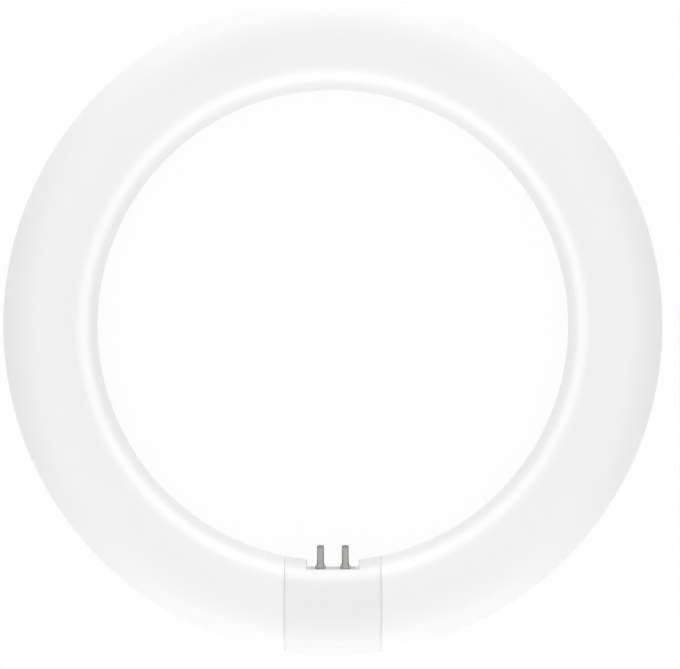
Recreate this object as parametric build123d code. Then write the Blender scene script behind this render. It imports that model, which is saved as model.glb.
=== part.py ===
from build123d import *
import math
import os

# A ring-shaped LED lamp with a four-pin base. The ring lies flat on its back: its axis is Z, its light
# side faces +Z, its base is at -Y and the pins point to the ring's centre. The origin is the centre of
# the ring on the tube's middle plane. Angles are counted from the base, anticlockwise seen from +Z.

# Tube
RING_RADIUS = 90.0
TUBE_RADIUS = 15.0
TUBE_WALL = 1.7
LIP_THICKNESS = 0.7
LIP_HEIGHT = 1.8
SEAM_GROOVE = 0.3
FIT_GAP = 0.1
PRESS_GAP = 0.02

# Base collar and the necks of the tube inside it
COLLAR_LENGTH = 30.5
COLLAR_WALL = 1.5
COLLAR_EDGE_RADIUS = 0.25
TUBE_EDGE_RADIUS = 0.25
NECK_WALL = 1.4
NECK_ROOT = 2.5
NECK_END_GAP = 0.5
POCKET_DEPTH = 2.3
POCKET_FRAME = 1.2
POCKET_WALL = 1.5
POCKET_EDGE_RADIUS = 0.3
PAD_THICKNESS = 2.4

# Four contact pins at the corners of a rectangle
PIN_SPACING_X = 7.92
PIN_SPACING_Z = 6.35
PIN_DIAMETER = 2.29
PIN_LENGTH = 7.1
PIN_TIP_RADIUS = 0.5
PIN_FOOT_DIAMETER = 3.4
PIN_FOOT_RIM = 0.45
PIN_FOOT_HEIGHT = 1.7
PIN_SHANK_DIAMETER = 2.0
PIN_RIVET_DIAMETER = 3.2
PIN_RIVET_HEIGHT = 0.6
PIN_TAIL_DIAMETER = 1.4
PIN_TAIL_PROUD = 1.2

# Pin block, trapped by its flange in rails inside the collar
BLOCK_MARGIN = 1.3
BLOCK_FLANGE_LAP = 1.4
BLOCK_FLANGE_THICKNESS = 1.8
RAIL_FLOOR = 1.2

# Input board on the tails of the pins
INPUT_BOARD_MARGIN = 1.8
INPUT_BOARD_THICKNESS = 1.0
RESISTOR_DIAMETER = 2.1
RESISTOR_LENGTH = 4.0
RESISTOR_CAP = 0.9
RESISTOR_WAIST = 0.15
RESISTOR_LEAD_DIAMETER = 0.6
RESISTOR_LEAD_REACH = 0.7

# Self-tapping screws
SCREW_DIAMETER = 2.2
SCREW_HEAD_DIAMETER = 4.0
SCREW_HEAD_HEIGHT = 1.5
SCREW_CROWN = 0.4
SCREW_SLOT_WIDTH = 0.5
SCREW_SLOT_LENGTH = 2.3
SCREW_SLOT_DEPTH = 0.8
SCREW_HOLE_GAP = 0.15
SCREW_POINT = 1.0
SCREW_BLIND_DEPTH = 0.5
BASE_SCREW_X = 6.2
BASE_SCREW_OUTWARD = 7.6
BASE_SCREW_GRIP = 8.5
BASE_SCREW_BITE = 6.0
BASE_BOSS_DIAMETER = 6.6
BOARD_SCREW_BITE = 5.0
DRIVER_SCREW_BITE = 2.2

# Light boards, arcs on bosses in the rear housing
BOARD_COUNT = 4
BOARD_WIDTH = 18.0
BOARD_THICKNESS = 1.2
BOARD_END_GAP = 2.0
BOARD_SPLIT = 3.0
BOSS_DIAMETER = 5.0
BOSS_INSET = 9.0
LED_ROW_COUNT = 12
LED_ROW_OFFSET = 5.5
LED_LENGTH = 3.5
LED_WIDTH = 2.8
LED_HEIGHT = 0.7
LED_CORNER = 0.6
LINK_OFFSET = 1.6
LINK_WIDTH = 1.0
LINK_HEIGHT = 0.5
LINK_LAP = 1.5

# Driver board under the first light board; places along it are shares of its length from the base's side
DRIVER_LENGTH = 64.0
DRIVER_WIDTH = 16.0
DRIVER_THICKNESS = 1.0
DRIVER_EDGE_GAP = 0.3
DRIVER_BOSS_GAP = 1.5
DRIVER_RIB_THICKNESS = 1.6
DRIVER_RIB_LENGTH = 12.0
DRIVER_RIB_PLACE = 0.094
DRIVER_SCREW_PLACE = 0.625
HEADROOM = 0.8
SEAT_GAP = 0.05
RECTIFIER_PLACE = 0.156
INPUT_CAPACITOR_PLACE = 0.336
INPUT_CAPACITOR_INWARD = 4.2
CHIP_PLACE = 0.328
CHIP_INWARD = -4.2
CHOKE_PLACE = 0.516
OUTPUT_CAPACITOR_PLACE = 0.758
HEADER_PLACE = 0.93

# Parts on the driver board
CAPACITOR_DIAMETER = 6.3
INPUT_CAPACITOR_LENGTH = 11.0
OUTPUT_CAPACITOR_LENGTH = 9.0
CAPACITOR_EDGE = 0.6
CAPACITOR_CRIMP_PLACE = 1.6
CAPACITOR_CRIMP = 0.3
CAPACITOR_LEAD_SPACING = 2.5
CAPACITOR_LEAD_DIAMETER = 0.5
CAPACITOR_LEAD_REACH = 1.4
CHOKE_DIAMETER = 8.0
CHOKE_HEIGHT = 6.4
CHOKE_FLANGE = 0.9
CHOKE_CORE_DIAMETER = 3.6
CHOKE_WINDING_DIAMETER = 7.2
RECTIFIER_LENGTH = 4.7
RECTIFIER_WIDTH = 3.9
RECTIFIER_HEIGHT = 2.5
RECTIFIER_LEGS = 2
RECTIFIER_PITCH = 2.54
CHIP_LENGTH = 4.9
CHIP_WIDTH = 3.9
CHIP_HEIGHT = 1.5
CHIP_LEGS = 4
CHIP_PITCH = 1.27
LEG_WIDTH = 0.42
LEG_THICKNESS = 0.2
LEG_SHOULDER = 0.45
LEG_FOOT = 0.6
HEADER_PITCH = 2.54
HEADER_WIDTH = 2.5
HEADER_HEIGHT = 2.5
HEADER_PIN_SIDE = 0.64

# Supply leads from the input board to the driver board
LEAD_DIAMETER = 1.4
LEAD_SPACING = 4.0
LEAD_NEAR_DROP = 3.5
LEAD_FAR_DROP = 8.0
LEAD_BOSS_GAP = 0.8
LEAD_LANDING = 3.0
LEAD_BEND_SHARE = 0.45

# Places that follow from the sizes above
FRONT = 1
REAR = -1
TUBE_BORE = TUBE_RADIUS - TUBE_WALL
TUBE_MIDWALL = TUBE_RADIUS - TUBE_WALL / 2
LIP_RADIUS = TUBE_BORE + LIP_THICKNESS
COLLAR_BORE = TUBE_RADIUS - COLLAR_WALL
COLLAR_MIDWALL = TUBE_RADIUS - COLLAR_WALL / 2
NECK_RADIUS = COLLAR_BORE - FIT_GAP
NECK_BORE = NECK_RADIUS - NECK_WALL

BLOCK_HALF_X = PIN_SPACING_X / 2 + PIN_FOOT_DIAMETER / 2 + BLOCK_MARGIN
BLOCK_HALF_Z = PIN_SPACING_Z / 2 + PIN_FOOT_DIAMETER / 2 + BLOCK_MARGIN
FLANGE_HALF_X = BLOCK_HALF_X + BLOCK_FLANGE_LAP
FLANGE_HALF_Z = BLOCK_HALF_Z + BLOCK_FLANGE_LAP
POCKET_HALF = BLOCK_HALF_X + FIT_GAP + POCKET_FRAME
PAD_HALF = max(POCKET_HALF, FLANGE_HALF_X + FIT_GAP) + POCKET_WALL
NECK_LENGTH = COLLAR_LENGTH / 2 - PAD_HALF - NECK_END_GAP

FLOOR_Y = -(RING_RADIUS - TUBE_RADIUS + POCKET_DEPTH)
PAD_UNDERSIDE_Y = FLOOR_Y - PAD_THICKNESS
FLANGE_UNDERSIDE_Y = PAD_UNDERSIDE_Y - BLOCK_FLANGE_THICKNESS
RAIL_UNDERSIDE_Y = FLANGE_UNDERSIDE_Y - FIT_GAP - RAIL_FLOOR
INPUT_BOARD_FRONT_Y = FLANGE_UNDERSIDE_Y - PIN_RIVET_HEIGHT
INPUT_BOARD_REAR_Y = INPUT_BOARD_FRONT_Y - INPUT_BOARD_THICKNESS
BASE_SCREW_Y = -(RING_RADIUS + BASE_SCREW_OUTWARD)

DRIVER_UNDERSIDE = -math.sqrt(TUBE_BORE**2 - (DRIVER_WIDTH / 2 + DRIVER_EDGE_GAP) ** 2)
DRIVER_TOP = DRIVER_UNDERSIDE + DRIVER_THICKNESS
TALLEST_PART = max(CHOKE_HEIGHT, CAPACITOR_DIAMETER + SEAT_GAP, HEADER_HEIGHT, RECTIFIER_HEIGHT, CHIP_HEIGHT)
BOARD_UNDERSIDE = DRIVER_TOP + TALLEST_PART + HEADROOM
BOARD_TOP = BOARD_UNDERSIDE + BOARD_THICKNESS

BOARD_INNER_RADIUS = RING_RADIUS - BOARD_WIDTH / 2
BOARD_FIRST = math.degrees(math.asin((COLLAR_LENGTH / 2 + NECK_ROOT + BOARD_END_GAP) / BOARD_INNER_RADIUS))
BOARD_GAP = math.degrees(BOARD_SPLIT / RING_RADIUS)
BOARD_ARC = (360 - 2 * BOARD_FIRST - (BOARD_COUNT - 1) * BOARD_GAP) / BOARD_COUNT
BOSS_ARC = math.degrees(BOSS_INSET / RING_RADIUS)
DRIVER_FIRST = BOARD_FIRST + BOSS_ARC + math.degrees((BOSS_DIAMETER / 2 + DRIVER_BOSS_GAP) / RING_RADIUS)
DRIVER_ARC = math.degrees(DRIVER_LENGTH / RING_RADIUS)
LEAD_OFFSET = BOSS_DIAMETER / 2 + LEAD_DIAMETER / 2 + LEAD_BOSS_GAP
LEAD_HEIGHT = DRIVER_TOP + LEAD_DIAMETER / 2 + SEAT_GAP
CLEAR = 4 * TUBE_RADIUS


def around(angle, radius, height):
    """A place on the ring: its local x runs along the ring and its local y points to the ring's centre."""
    return Rot(0, 0, angle) * Pos(0, -radius, height)


def along_driver(place, inward, height):
    """A place on the driver board, as a share of its length from its end beside the base."""
    return around(DRIVER_FIRST + place * DRIVER_ARC, RING_RADIUS - inward, height)


def board_start(index):
    """Angle at which a light board starts."""
    return BOARD_FIRST + index * (BOARD_ARC + BOARD_GAP)


def boss_angles():
    """Angles of the light boards' bosses, two to a board."""
    starts = [board_start(index) for index in range(BOARD_COUNT)]
    return [start + inset for start in starts for inset in (BOSS_ARC, BOARD_ARC - BOSS_ARC)]


def pin_places():
    """Centres of the four pins on the floor of the pocket, as x and z, by name."""
    columns = {"left": -PIN_SPACING_X / 2, "right": PIN_SPACING_X / 2}
    rows = {"front": PIN_SPACING_Z / 2, "rear": -PIN_SPACING_Z / 2}
    return {f"{row}_{column}": (columns[column], rows[row]) for row in rows for column in columns}


def half_ring(outer, inner, side):
    """Front or rear half of the tube's section between two radii, about the tube's centre."""
    half = Pos(0, side * outer) * Rectangle(3 * outer, 2 * outer)
    return (Circle(outer) - Circle(inner)) & half


def band(height):
    """Strip of the section from the seam up to a height in front of it."""
    return Pos(0, height / 2) * Rectangle(3 * TUBE_RADIUS, height)


def spin(section):
    """A section of the tube carried round the whole ring."""
    return revolve(Plane.XZ * Pos(RING_RADIUS, 0) * section, Axis.Z)


def seam_groove():
    """V-groove along both sides of the tube where the two halves meet."""
    side = SEAM_GROOVE * math.sqrt(2)
    diamond = Rot(0, 0, 45) * Rectangle(side, side)
    return spin(Pos(TUBE_RADIUS, 0) * diamond) + spin(Pos(-TUBE_RADIUS, 0) * diamond)


def base_zone(length):
    """Slab across the base, with its two faces square to X."""
    return Pos(0, -RING_RADIUS, 0) * Box(length, CLEAR, CLEAR)


def half_space(side):
    """Everything on one side of the seam."""
    width = 2 * RING_RADIUS + CLEAR
    return Pos(0, 0, side * CLEAR / 2) * Box(width, width, CLEAR)


def tube_necks(side):
    """Sleeves at both ends of a tube half, rooted inside its wall and reaching into the collar."""
    root_zone = base_zone(COLLAR_LENGTH + 2 * NECK_ROOT) - base_zone(COLLAR_LENGTH)
    neck_zone = base_zone(COLLAR_LENGTH) - base_zone(COLLAR_LENGTH - 2 * NECK_LENGTH)
    root = spin(half_ring(TUBE_MIDWALL, NECK_BORE, side)) & root_zone
    neck = spin(half_ring(NECK_RADIUS, NECK_BORE, side)) & neck_zone
    return root + neck


def tube_half(side):
    """Half of the tube's plain shell, with its ends rounded where they meet the collar."""
    tube = Torus(RING_RADIUS, TUBE_RADIUS) - base_zone(COLLAR_LENGTH)
    tube = fillet(tube.edges().filter_by(on_collar_end), TUBE_EDGE_RADIUS)
    tube = tube - Torus(RING_RADIUS, TUBE_BORE) - seam_groove()
    return tube & half_space(side)


def front_diffuser():
    """Opal front half of the tube, rebated inside its rim for the housing's lip."""
    rebate = spin(Circle(LIP_RADIUS + FIT_GAP) & band(LIP_HEIGHT + FIT_GAP))
    return tube_half(FRONT) - rebate + tube_necks(FRONT)


def rear_housing():
    """White rear half of the tube, with the lip, the light boards' bosses and the driver board's ribs."""
    lip = spin(half_ring(LIP_RADIUS, TUBE_BORE, FRONT) & band(LIP_HEIGHT))
    lip = lip - base_zone(COLLAR_LENGTH + 2 * (NECK_ROOT + FIT_GAP))
    shell = tube_half(REAR) + lip + tube_necks(REAR)
    inside = Torus(RING_RADIUS, TUBE_MIDWALL)
    for angle in boss_angles():
        shell = shell + (boss(angle, RING_RADIUS, BOARD_UNDERSIDE, BOSS_DIAMETER) & inside)
    for angle in boss_angles():
        shell = shell - pilot(angle, BOARD_UNDERSIDE, BOARD_SCREW_BITE)
    for place in (DRIVER_RIB_PLACE, 1 - DRIVER_RIB_PLACE):
        rib = along_driver(place, 0, DRIVER_UNDERSIDE - TUBE_RADIUS / 2)
        shell = shell + (rib * Box(DRIVER_RIB_THICKNESS, DRIVER_RIB_LENGTH, TUBE_RADIUS) & inside)
    screw_angle = DRIVER_FIRST + DRIVER_SCREW_PLACE * DRIVER_ARC
    shell = shell + (boss(screw_angle, RING_RADIUS, DRIVER_UNDERSIDE, BOSS_DIAMETER) & inside)
    return shell - pilot(screw_angle, DRIVER_UNDERSIDE, DRIVER_SCREW_BITE)


def boss(angle, radius, top, diameter):
    """Post from below the tube up to a height."""
    return around(angle, radius, top - TUBE_RADIUS) * Cylinder(diameter / 2, 2 * TUBE_RADIUS)


def pilot(angle, top, bite):
    """Blind hole in a boss for a screw that bites a given depth."""
    depth = bite + SCREW_BLIND_DEPTH
    return around(angle, RING_RADIUS, top - depth / 2) * Cylinder(SCREW_DIAMETER / 2 + PRESS_GAP, depth)


def slab_y(half_x, low_y, high_y, half_z):
    """Box centred in x and z between two heights along y."""
    return Pos(0, (low_y + high_y) / 2, 0) * Box(2 * half_x, high_y - low_y, 2 * half_z)


def base_shell(side):
    """Front or rear half of the collar, with its share of the pin pocket, the rails and the screw bosses."""
    outer = Torus(RING_RADIUS, TUBE_RADIUS) & base_zone(COLLAR_LENGTH)
    outer = fillet(outer.edges().filter_by(on_collar_end), COLLAR_EDGE_RADIUS)
    outer = outer - slab_y(POCKET_HALF, FLOOR_Y, -RING_RADIUS + CLEAR, CLEAR)
    outer = fillet(outer.edges().filter_by(on_pocket_rim), POCKET_EDGE_RADIUS)
    inner = Torus(RING_RADIUS, COLLAR_MIDWALL) & base_zone(COLLAR_LENGTH)
    shell = outer - Torus(RING_RADIUS, COLLAR_BORE)
    shell = shell + (outer & slab_y(PAD_HALF, PAD_UNDERSIDE_Y, -RING_RADIUS + CLEAR, CLEAR))
    rails = slab_y(PAD_HALF, RAIL_UNDERSIDE_Y, PAD_UNDERSIDE_Y, CLEAR)
    rails = rails - slab_y(FLANGE_HALF_X + FIT_GAP, FLANGE_UNDERSIDE_Y - FIT_GAP, PAD_UNDERSIDE_Y, CLEAR)
    rails = rails - slab_y(BLOCK_HALF_X, RAIL_UNDERSIDE_Y, PAD_UNDERSIDE_Y, CLEAR)
    shell = shell + (rails & inner)
    for x in (-BASE_SCREW_X, BASE_SCREW_X):
        shell = shell + (Pos(x, BASE_SCREW_Y, 0) * Cylinder(BASE_BOSS_DIAMETER / 2, CLEAR) & inner)
    shell = shell - slab_y(BLOCK_HALF_X + FIT_GAP, PAD_UNDERSIDE_Y, FLOOR_Y, BLOCK_HALF_Z + FIT_GAP)
    for x in (-BASE_SCREW_X, BASE_SCREW_X):
        shell = shell - Pos(x, BASE_SCREW_Y, 0) * base_screw_hole(side)
    return (shell & half_space(side)) - seam_groove()


def on_collar_end(edge):
    """Whether an edge lies in one of the collar's two end planes."""
    return abs(abs(edge.center().X) - COLLAR_LENGTH / 2) < FIT_GAP


def on_pocket_rim(edge):
    """Whether an edge lies where the floor or a wall of the pocket cuts the collar's outside."""
    middle = edge.center()
    on_floor = abs(middle.Y - FLOOR_Y) < FIT_GAP and abs(middle.X) < POCKET_HALF / 2
    on_wall = abs(abs(middle.X) - POCKET_HALF) < FIT_GAP and middle.Y - FLOOR_Y > FIT_GAP
    return on_floor or on_wall


def base_screw_hole(side):
    """Counterbored hole in the rear shell, or blind hole in the front shell."""
    if side == FRONT:
        depth = BASE_SCREW_BITE + SCREW_BLIND_DEPTH
        return Pos(0, 0, depth / 2) * Cylinder(SCREW_DIAMETER / 2 + PRESS_GAP, depth)
    shank = Pos(0, 0, -BASE_SCREW_GRIP / 2) * Cylinder(SCREW_DIAMETER / 2 + SCREW_HOLE_GAP, BASE_SCREW_GRIP)
    head = Cylinder(SCREW_HEAD_DIAMETER / 2 + SCREW_HOLE_GAP, TUBE_RADIUS)
    return shank + Pos(0, 0, -BASE_SCREW_GRIP - TUBE_RADIUS / 2) * head


def pin_block():
    """Insulating block that fills the window in the pocket's floor and carries the pins."""
    block = slab_y(BLOCK_HALF_X, PAD_UNDERSIDE_Y, FLOOR_Y, BLOCK_HALF_Z)
    block = block + slab_y(FLANGE_HALF_X, FLANGE_UNDERSIDE_Y, PAD_UNDERSIDE_Y, FLANGE_HALF_Z)
    for x, z in pin_places().values():
        hole = Cylinder(PIN_SHANK_DIAMETER / 2 + PRESS_GAP, CLEAR)
        block = block - Pos(x, FLOOR_Y, z) * Rot(90, 0, 0) * hole
    return block


def contact_pin():
    """Turned pin with a flared foot, riveted below the block and soldered through the input board."""
    shaft = PIN_DIAMETER / 2
    foot = PIN_FOOT_DIAMETER / 2
    shank = PIN_SHANK_DIAMETER / 2
    rivet = PIN_RIVET_DIAMETER / 2
    tail = PIN_TAIL_DIAMETER / 2
    block_low = FLANGE_UNDERSIDE_Y - FLOOR_Y
    rivet_low = block_low - PIN_RIVET_HEIGHT
    tail_low = rivet_low - INPUT_BOARD_THICKNESS - PIN_TAIL_PROUD
    tip_low = PIN_LENGTH - PIN_TIP_RADIUS
    crown = Polyline((0, PIN_LENGTH), (shaft - PIN_TIP_RADIUS, PIN_LENGTH))
    round_tip = RadiusArc(crown @ 1, (shaft, tip_low), PIN_TIP_RADIUS)
    side = Line(round_tip @ 1, (shaft, PIN_FOOT_HEIGHT))
    flare = TangentArc(side @ 1, (foot, PIN_FOOT_RIM), tangent=side % 1)
    below = Polyline(
        flare @ 1,
        (foot, 0),
        (shank, 0),
        (shank, block_low),
        (rivet, block_low),
        (rivet, rivet_low),
        (tail, rivet_low),
        (tail, tail_low),
        (0, tail_low),
        (0, PIN_LENGTH),
    )
    outline = Plane.XZ * make_face(crown + round_tip + side + flare + below)
    return Rot(-90, 0, 0) * revolve(outline, Axis.Z)


def input_board():
    """Small circuit board on the pins' tails, behind the pin block."""
    half_x = PIN_SPACING_X / 2 + INPUT_BOARD_MARGIN
    half_z = PIN_SPACING_Z / 2 + INPUT_BOARD_MARGIN
    board = slab_y(half_x, INPUT_BOARD_REAR_Y, INPUT_BOARD_FRONT_Y, half_z)
    for x, z in pin_places().values():
        hole = Cylinder(PIN_TAIL_DIAMETER / 2 + FIT_GAP, CLEAR)
        board = board - Pos(x, INPUT_BOARD_REAR_Y, z) * Rot(90, 0, 0) * hole
    return board


def fusible_resistor():
    """Axial resistor lying along x with swollen ends, its legs bent towards +y."""
    axis_height = RESISTOR_DIAMETER / 2 + SEAT_GAP
    end = RESISTOR_DIAMETER / 2
    waist = end - RESISTOR_WAIST
    half = RESISTOR_LENGTH / 2
    outline = Polyline(
        (0, -half),
        (waist, -half),
        (end, -half + RESISTOR_WAIST),
        (end, -half + RESISTOR_CAP),
        (waist, -half + RESISTOR_CAP + RESISTOR_WAIST),
        (waist, half - RESISTOR_CAP - RESISTOR_WAIST),
        (end, half - RESISTOR_CAP),
        (end, half - RESISTOR_WAIST),
        (waist, half),
        (0, half),
        close=True,
    )
    body = Rot(0, 90, 0) * revolve(Plane.XZ * make_face(outline), Axis.Z)
    for side in (-1, 1):
        turn = side * (half + RESISTOR_LEAD_REACH)
        route = FilletPolyline(
            (side * (half - RESISTOR_WAIST), 0, 0),
            (turn, 0, 0),
            (turn, axis_height, 0),
            radius=RESISTOR_LEAD_REACH / 2,
        )
        body = body + sweep(Plane(route @ 0, z_dir=route % 0) * Circle(RESISTOR_LEAD_DIAMETER / 2), route)
    return body


def fusible_resistors():
    """Two resistors on the rear of the input board, one between each pair of pins."""
    place_y = INPUT_BOARD_REAR_Y - RESISTOR_DIAMETER / 2 - SEAT_GAP
    rows = (-PIN_SPACING_Z / 2, PIN_SPACING_Z / 2)
    return Compound(children=[Pos(0, place_y, z) * fusible_resistor() for z in rows])


def screw(grip, bite):
    """Pan-head screw standing on its seat at z = 0, its shank along -z through the grip into the bite."""
    head = SCREW_HEAD_DIAMETER / 2
    shank = SCREW_DIAMETER / 2
    point = -grip - bite
    outline = Polyline(
        (0, SCREW_HEAD_HEIGHT),
        (head - SCREW_CROWN, SCREW_HEAD_HEIGHT),
        (head, SCREW_HEAD_HEIGHT - SCREW_CROWN),
        (head, 0),
        (shank, 0),
        (shank, point + SCREW_POINT),
        (shank / 2, point),
        (0, point),
        close=True,
    )
    slot = Box(SCREW_SLOT_LENGTH, SCREW_SLOT_WIDTH, 2 * SCREW_SLOT_DEPTH)
    slot = slot + Box(SCREW_SLOT_WIDTH, SCREW_SLOT_LENGTH, 2 * SCREW_SLOT_DEPTH)
    return revolve(Plane.XZ * make_face(outline), Axis.Z) - Pos(0, 0, SCREW_HEAD_HEIGHT) * slot


def base_screws():
    """Two screws that clamp the collar's halves from behind."""
    upright = screw(BASE_SCREW_GRIP, BASE_SCREW_BITE)
    places = (-BASE_SCREW_X, BASE_SCREW_X)
    turned = Rot(180, 0, 0) * upright
    return Compound(children=[Pos(x, BASE_SCREW_Y, -BASE_SCREW_GRIP) * turned for x in places])


def board_screws():
    """Screws that hold the light boards on their bosses."""
    upright = screw(BOARD_THICKNESS, BOARD_SCREW_BITE)
    return Compound(children=[around(angle, RING_RADIUS, BOARD_TOP) * upright for angle in boss_angles()])


def driver_screw():
    """Screw that holds the driver board on its boss."""
    return along_driver(DRIVER_SCREW_PLACE, 0, DRIVER_TOP) * screw(DRIVER_THICKNESS, DRIVER_SCREW_BITE)


def arc_board(start, arc, width, underside, thickness):
    """Flat board that follows the ring."""
    section = Plane.XZ * Pos(RING_RADIUS, underside + thickness / 2) * Rectangle(width, thickness)
    return Rot(0, 0, start - 90) * revolve(section, Axis.Z, revolution_arc=arc)


def light_board(index):
    """One arc of the light board, with its screw holes."""
    board = arc_board(board_start(index), BOARD_ARC, BOARD_WIDTH, BOARD_UNDERSIDE, BOARD_THICKNESS)
    hole = Cylinder(SCREW_DIAMETER / 2 + SCREW_HOLE_GAP, CLEAR)
    for inset in (BOSS_ARC, BOARD_ARC - BOSS_ARC):
        board = board - around(board_start(index) + inset, RING_RADIUS, BOARD_TOP) * hole
    return board


def led_package():
    """Flat rectangular LED with one corner cut off to mark its cathode."""
    outline = Rectangle(LED_LENGTH, LED_WIDTH)
    outline = chamfer(outline.vertices().sort_by(Axis.X).sort_by(Axis.Y)[:1], LED_CORNER)
    return extrude(outline, LED_HEIGHT)


def led_packages(index):
    """Two staggered rows of LEDs on one light board."""
    package = led_package()
    step = BOARD_ARC / LED_ROW_COUNT
    rows = {0.25: RING_RADIUS - LED_ROW_OFFSET, 0.75: RING_RADIUS + LED_ROW_OFFSET}
    places = [(share + number, rows[share]) for share in rows for number in range(LED_ROW_COUNT)]
    start = board_start(index)
    seats = [around(start + step * turn, radius, BOARD_TOP) for turn, radius in places]
    return Compound(children=[seat * package for seat in seats])


def board_links():
    """Pairs of flat links that join each light board to the next."""
    link = Pos(0, 0, LINK_HEIGHT / 2) * Box(BOARD_SPLIT + 2 * LINK_LAP, LINK_WIDTH, LINK_HEIGHT)
    middles = [board_start(index) - BOARD_GAP / 2 for index in range(1, BOARD_COUNT)]
    radii = (RING_RADIUS - LINK_OFFSET, RING_RADIUS + LINK_OFFSET)
    seats = [around(angle, radius, BOARD_TOP) for angle in middles for radius in radii]
    return Compound(children=[seat * link for seat in seats])


def driver_board():
    """Arc-shaped circuit board in the rear half of the tube beside the base."""
    board = arc_board(DRIVER_FIRST, DRIVER_ARC, DRIVER_WIDTH, DRIVER_UNDERSIDE, DRIVER_THICKNESS)
    hole = Cylinder(SCREW_DIAMETER / 2 + SCREW_HOLE_GAP, CLEAR)
    return board - along_driver(DRIVER_SCREW_PLACE, 0, DRIVER_TOP) * hole


def capacitor(length):
    """Can capacitor lying along x on z = 0, with a crimped end and two legs bent down to z = 0."""
    radius = CAPACITOR_DIAMETER / 2
    axis_height = radius + SEAT_GAP
    crimp = length - CAPACITOR_CRIMP_PLACE
    outline = Polyline(
        (0, 0),
        (radius - CAPACITOR_EDGE, 0),
        (radius, CAPACITOR_EDGE),
        (radius, crimp - CAPACITOR_CRIMP),
        (radius - CAPACITOR_CRIMP, crimp),
        (radius, crimp + CAPACITOR_CRIMP),
        (radius, length - CAPACITOR_EDGE),
        (radius - CAPACITOR_EDGE, length),
        (0, length),
        close=True,
    )
    can = Pos(-length / 2, 0, axis_height) * Rot(0, 90, 0) * revolve(Plane.XZ * make_face(outline), Axis.Z)
    for y in (-CAPACITOR_LEAD_SPACING / 2, CAPACITOR_LEAD_SPACING / 2):
        turn = length / 2 + CAPACITOR_LEAD_REACH
        route = FilletPolyline(
            (length / 2 - CAPACITOR_EDGE, y, axis_height),
            (turn, y, axis_height),
            (turn, y, 0),
            radius=CAPACITOR_LEAD_REACH / 2,
        )
        can = can + sweep(Plane(route @ 0, z_dir=route % 0) * Circle(CAPACITOR_LEAD_DIAMETER / 2), route)
    return can


def input_capacitor():
    """Capacitor after the rectifier."""
    place = along_driver(INPUT_CAPACITOR_PLACE, INPUT_CAPACITOR_INWARD, DRIVER_TOP)
    return place * capacitor(INPUT_CAPACITOR_LENGTH)


def output_capacitor():
    """Capacitor beside the output header."""
    return along_driver(OUTPUT_CAPACITOR_PLACE, 0, DRIVER_TOP) * capacitor(OUTPUT_CAPACITOR_LENGTH)


def choke_core():
    """Ferrite drum, a core between two flanges."""
    core = Cylinder(CHOKE_CORE_DIAMETER / 2, CHOKE_HEIGHT)
    for side in (-1, 1):
        flange = Cylinder(CHOKE_DIAMETER / 2, CHOKE_FLANGE)
        core = core + Pos(0, 0, side * (CHOKE_HEIGHT - CHOKE_FLANGE) / 2) * flange
    return along_driver(CHOKE_PLACE, 0, DRIVER_TOP + CHOKE_HEIGHT / 2) * core


def choke_winding():
    """Copper winding between the drum's flanges."""
    height = CHOKE_HEIGHT - 2 * CHOKE_FLANGE - 2 * SEAT_GAP
    winding = Cylinder(CHOKE_WINDING_DIAMETER / 2, height)
    winding = winding - Cylinder(CHOKE_CORE_DIAMETER / 2 + SEAT_GAP, CLEAR)
    return along_driver(CHOKE_PLACE, 0, DRIVER_TOP + CHOKE_HEIGHT / 2) * winding


def package_leg(half_width, middle):
    """Bent leg that leaves a package's side at its middle height and ends in a flat foot on z = 0."""
    out = half_width + LEG_SHOULDER
    line = Polyline(
        (half_width, middle),
        (out, middle),
        (out, LEG_THICKNESS),
        (out + LEG_FOOT, LEG_THICKNESS),
        (out + LEG_FOOT, 0),
        (out - LEG_THICKNESS, 0),
        (out - LEG_THICKNESS, middle - LEG_THICKNESS),
        (half_width, middle - LEG_THICKNESS),
        close=True,
    )
    return extrude(Plane.YZ * make_face(line), LEG_WIDTH / 2, both=True)


def leaded_package(length, width, height, legs, pitch):
    """Moulded package lying along x on its legs, with the legs in a row down each side."""
    body_height = height - LEG_THICKNESS / 2
    body = Pos(0, 0, LEG_THICKNESS / 2 + body_height / 2) * Box(length, width, body_height)
    body = chamfer(body.faces().sort_by(Axis.Z)[-1].edges(), LEG_THICKNESS)
    leg = package_leg(width / 2, height / 2)
    for number in range(legs):
        x = (number - (legs - 1) / 2) * pitch
        body = body + Pos(x, 0, 0) * leg + Pos(x, 0, 0) * Rot(0, 0, 180) * leg
    return body


def bridge_rectifier():
    """Rectifier beside the landing of the supply leads."""
    package = leaded_package(
        RECTIFIER_LENGTH, RECTIFIER_WIDTH, RECTIFIER_HEIGHT, RECTIFIER_LEGS, RECTIFIER_PITCH
    )
    return along_driver(RECTIFIER_PLACE, 0, DRIVER_TOP) * package


def driver_chip():
    """Controller beside the input capacitor."""
    package = leaded_package(CHIP_LENGTH, CHIP_WIDTH, CHIP_HEIGHT, CHIP_LEGS, CHIP_PITCH)
    return along_driver(CHIP_PLACE, CHIP_INWARD, DRIVER_TOP) * package


def header_pin_places():
    """Offsets of the two header pins across the driver board."""
    return (-HEADER_PITCH / 2, HEADER_PITCH / 2)


def output_header_body():
    """Moulded body of the header that feeds the light boards."""
    body = Pos(0, 0, HEADER_HEIGHT / 2) * Box(HEADER_WIDTH, 2 * HEADER_PITCH, HEADER_HEIGHT)
    hole_side = HEADER_PIN_SIDE + 2 * PRESS_GAP
    for y in header_pin_places():
        body = body - Pos(0, y, 0) * Box(hole_side, hole_side, CLEAR)
    return along_driver(HEADER_PLACE, 0, DRIVER_TOP) * body


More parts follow.
